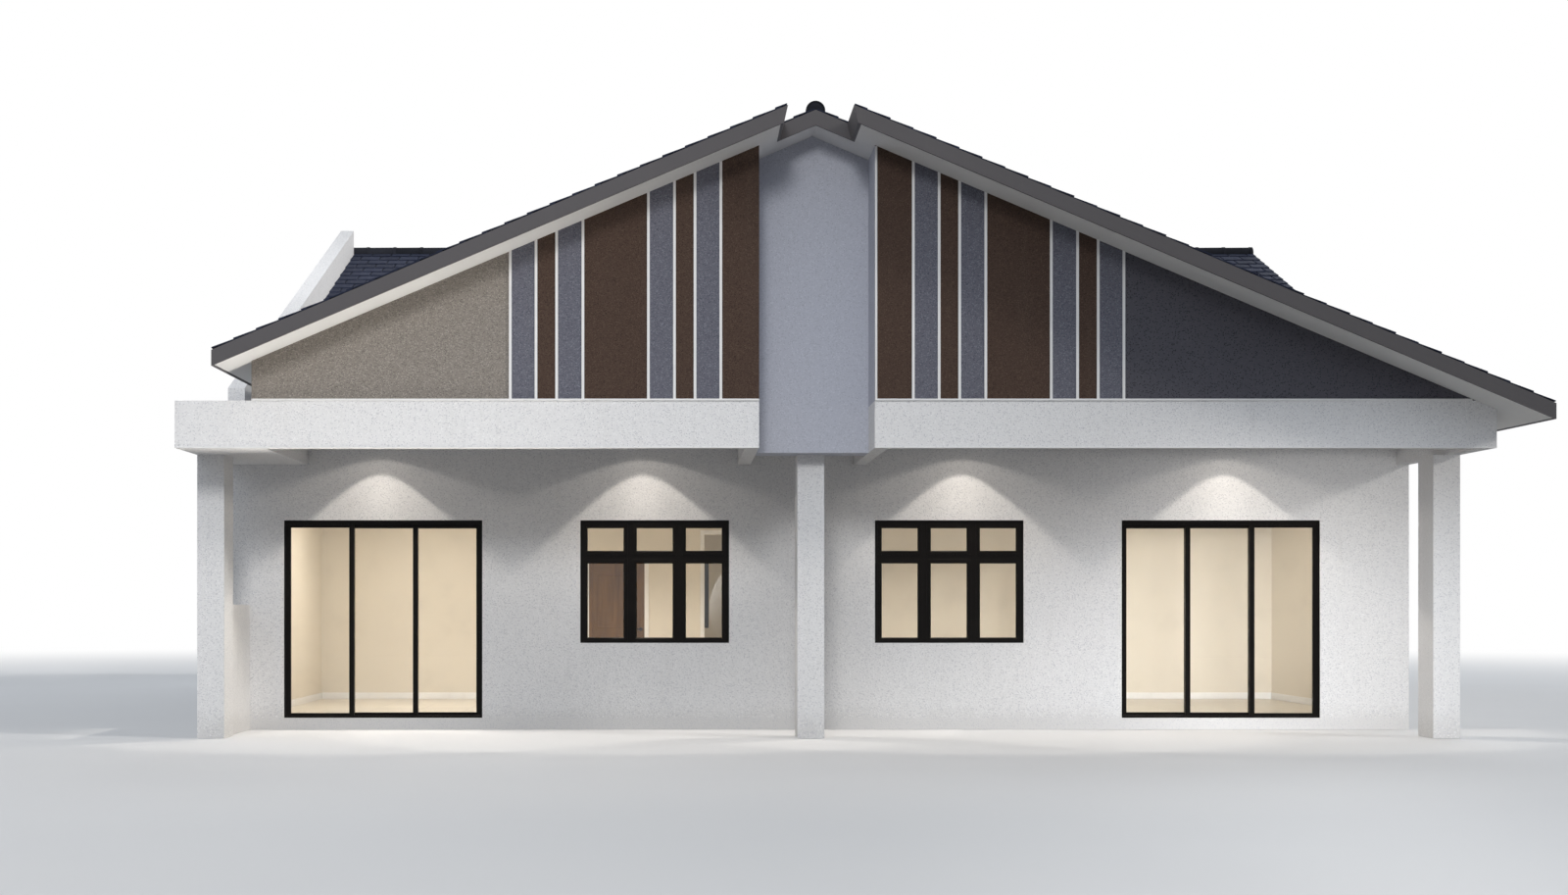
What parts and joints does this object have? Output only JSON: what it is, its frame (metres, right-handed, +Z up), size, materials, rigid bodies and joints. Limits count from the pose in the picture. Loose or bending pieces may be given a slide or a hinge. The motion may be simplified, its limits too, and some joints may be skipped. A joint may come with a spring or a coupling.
{
  "type": "single-storey terraced house",
  "caption": "Gabled block of single-storey terraced houses with a columned verandah, banded gable walls and sliding glass front doors.",
  "frame": {"origin": "on the ground under the floor slab, where the ridge plane of the street gable crosses the main ridge", "axes": "+X to the right along the street, +Y from the street to the back, +Z up"},
  "size_m": [14.47, 19.076, 7.3948],
  "materials": {
    "white_plaster": "fine textured wall coat, matt",
    "grey_plaster": "rough textured wall coat, matt",
    "charcoal_plaster": "rough textured wall coat, darker, matt",
    "pearl_plaster": "fine textured wall coat, cooler and a little darker, matt",
    "brown_coat": "textured wall coat, matt",
    "blue_grey_coat": "speckled wall coat, matt",
    "white_trim": "smooth paint, matt",
    "roof_deck": "painted soffit below, tile bed above",
    "ridge_tile": "dark ridge caps, matt",
    "edge_board": "dark painted boards, satin",
    "black_frame": "powder coat, satin",
    "clear_glass": "clear float glass",
    "room_paint": "smooth wall paint, matt",
    "floor_finish": "plain floor with a plastered edge",
    "lamp": "pale diffuser"
  },
  "bodies": {
    "house": {"band_trims": "white_trim", "barge_boards": "edge_board", "brown_bands": "brown_coat", "column_centre": "white_plaster", "column_left": "white_plaster", "column_right": "white_plaster", "cross_beams": "white_plaster", "cross_wall_left": "room_paint", "cross_wall_right": "room_paint", "door_frame_left": "black_frame", "door_frame_right": "black_frame", "downlights": "lamp", "eave_boards": "edge_board", "end_barge_boards": "edge_board", "end_wall": "white_plaster", "fixed_door_glass": "clear_glass", "floor_slab": "floor_finish", "front_beam_left": "white_plaster", "front_beam_right": "white_plaster", "front_head_left": "white_plaster", "front_head_right": "white_plaster", "front_pier_left": "white_plaster", "front_pier_right": "white_plaster", "front_window_bay_left": "white_plaster", "front_window_bay_right": "white_plaster", "front_window_frames": "black_frame", "front_window_glass": "clear_glass", "gable_returns": "pearl_plaster", "gable_ridge_cap": "ridge_tile", "gable_roof_left": "roof_deck", "gable_roof_right": "roof_deck", "gable_side_wall": "white_plaster", "gable_wall_left": "grey_plaster", "gable_wall_right": "charcoal_plaster", "grey_bands": "blue_grey_coat", "low_wall": "white_plaster", "main_ridge_cap": "ridge_tile", "main_roof_front": "roof_deck", "main_roof_rear": "roof_deck", "party_slab": "white_plaster", "party_wall_centre": "white_plaster", "party_wall_left": "white_plaster", "rear_wall_left": "white_plaster", "rear_wall_right": "white_plaster", "rear_window_frames": "black_frame", "rear_window_glass": "clear_glass", "room_ceilings": "room_paint", "strip_wall": "pearl_plaster", "verandah_ceilings": "white_plaster"},
    "left_middle_sash": {"sash_left_middle": "black_frame", "sash_glass_left_middle": "clear_glass"},
    "left_inner_sash": {"sash_left_inner": "black_frame", "sash_glass_left_inner": "clear_glass"},
    "right_middle_sash": {"sash_right_middle": "black_frame", "sash_glass_right_middle": "clear_glass"},
    "right_inner_sash": {"sash_right_inner": "black_frame", "sash_glass_right_inner": "clear_glass"}
  },
  "joints": [
    {"name": "left_middle_slide", "type": "slide", "parent": "house", "child": "left_middle_sash", "axis": [-1, 0, 0], "range_m": [0, 0.75]},
    {"name": "left_inner_slide", "type": "slide", "parent": "house", "child": "left_inner_sash", "axis": [-1, 0, 0], "range_m": [0, 1.506]},
    {"name": "right_middle_slide", "type": "slide", "parent": "house", "child": "right_middle_sash", "axis": [1, 0, 0], "range_m": [0, 0.75]},
    {"name": "right_inner_slide", "type": "slide", "parent": "house", "child": "right_inner_sash", "axis": [1, 0, 0], "range_m": [0, 1.506]}
  ]
}
